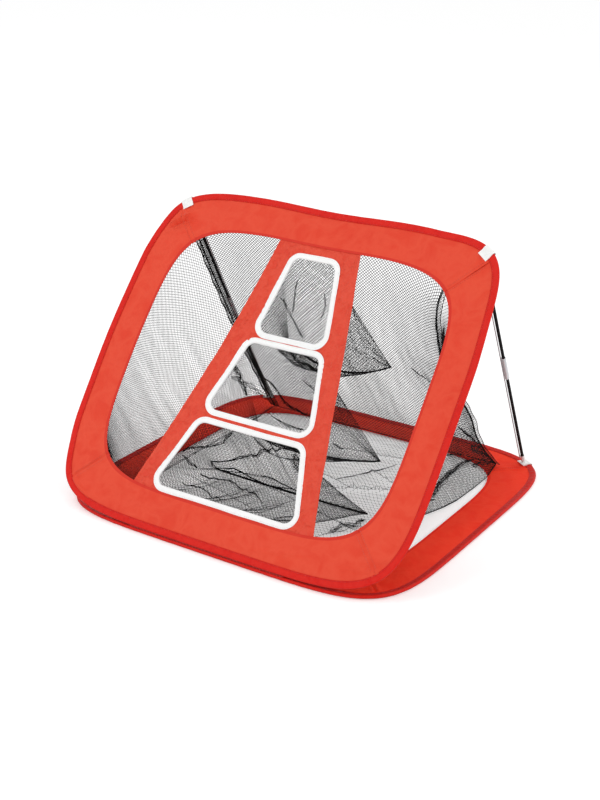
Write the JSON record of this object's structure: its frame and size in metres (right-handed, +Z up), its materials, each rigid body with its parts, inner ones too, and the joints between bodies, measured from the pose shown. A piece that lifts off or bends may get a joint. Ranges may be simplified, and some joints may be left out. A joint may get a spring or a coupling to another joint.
{
  "type": "golf chipping net",
  "caption": "Pop-up golf chipping net: a leaning hoop panel with a target strip over net pockets, a catch net behind it, a flat hoop base and jointed prop rods.",
  "frame": {"origin": "middle of the base's footprint, on the floor", "axes": "+X to the right of someone who faces the target, +Y to the back, away from the player, +Z up"},
  "size_m": [0.68, 0.6211, 0.4766],
  "materials": {
    "cloth": "coated polyester cloth, faintly crinkled",
    "sleeve": "coated polyester cloth, doubled and stitched",
    "webbing": "woven webbing and binding tape",
    "net": "fine knitted polyester mesh",
    "seam_tape": "overlocked mesh seam",
    "hoop_steel": "spring steel",
    "rod": "drawn glass-fibre tube",
    "rod_joint": "satin tube",
    "rod_cap": "moulded",
    "cord": "braided elastic"
  },
  "bodies": {
    "base": {"base_border_right": "cloth", "base_border_back": "cloth", "base_border_left": "cloth", "base_border_front": "cloth", "base_edge_sleeve": "sleeve", "base_tab_left": "webbing", "base_tab_right": "webbing", "base_hoop": "hoop_steel", "hinge_cord": "sleeve", "net_floor": "net"},
    "panel": {"panel_border_right": "cloth", "panel_border_top": "cloth", "panel_border_left": "cloth", "panel_border_bottom": "cloth", "target_strip": "cloth", "panel_edge_sleeve": "sleeve", "panel_tab_left": "webbing", "panel_tab_right": "webbing", "hole_trim_low": "webbing", "hole_trim_middle": "webbing", "hole_trim_top": "webbing", "net_back": "net", "net_front": "net", "net_side_left": "net", "net_side_right": "net", "pocket_net_low": "net", "pocket_net_middle": "net", "pocket_net_top": "net", "net_seam_left": "seam_tape", "net_seam_right": "seam_tape", "panel_hoop": "hoop_steel"},
    "rod_left": {"rod_lower_left": "rod", "rod_joint_left": "rod_joint", "rod_cap_lower_left": "rod_cap", "shock_cord_left": "cord", "rod_elastic_left": "cord"},
    "rod_left_upper": {"rod_upper_left": "rod", "rod_cap_upper_left": "rod_cap"},
    "rod_right": {"rod_lower_right": "rod", "rod_joint_right": "rod_joint", "rod_cap_lower_right": "rod_cap", "shock_cord_right": "cord", "rod_elastic_right": "cord"},
    "rod_right_upper": {"rod_upper_right": "rod", "rod_cap_upper_right": "rod_cap"}
  },
  "joints": [
    {"name": "panel_fold", "type": "hinge", "parent": "base", "child": "panel", "pos_m": [0, -0.30703, 0.0072], "axis": [-1, 0, 0], "range_deg": [0, 46], "deforming": ["net_back", "net_front", "net_side_left", "net_side_right", "net_seam_left", "net_seam_right", "pocket_net_low", "pocket_net_middle", "pocket_net_top"]},
    {"name": "rod_swing_left", "type": "hinge", "parent": "base", "child": "rod_left", "pos_m": [-0.27814, 0.27375, 0.0111], "axis": [-1, 0, 0], "range_deg": [0, 115]},
    {"name": "rod_pull_left", "type": "slide", "parent": "rod_left", "child": "rod_left_upper", "axis": [-0.0166, -0.4612, 0.8872], "range_m": [0, 0.03]},
    {"name": "rod_swing_right", "type": "hinge", "parent": "base", "child": "rod_right", "pos_m": [0.27814, 0.27375, 0.0111], "axis": [-1, 0, 0], "range_deg": [0, 115]},
    {"name": "rod_pull_right", "type": "slide", "parent": "rod_right", "child": "rod_right_upper", "axis": [0.0166, -0.4612, 0.8872], "range_m": [0, 0.03]}
  ],
  "couplings": [
    {"joint": "rod_swing_left", "follows": "panel_fold", "ratio": 2.5},
    {"joint": "rod_pull_left", "follows": "panel_fold", "m_per_rad": 0.03736},
    {"joint": "rod_swing_right", "follows": "panel_fold", "ratio": 2.5},
    {"joint": "rod_pull_right", "follows": "panel_fold", "m_per_rad": 0.03736}
  ]
}
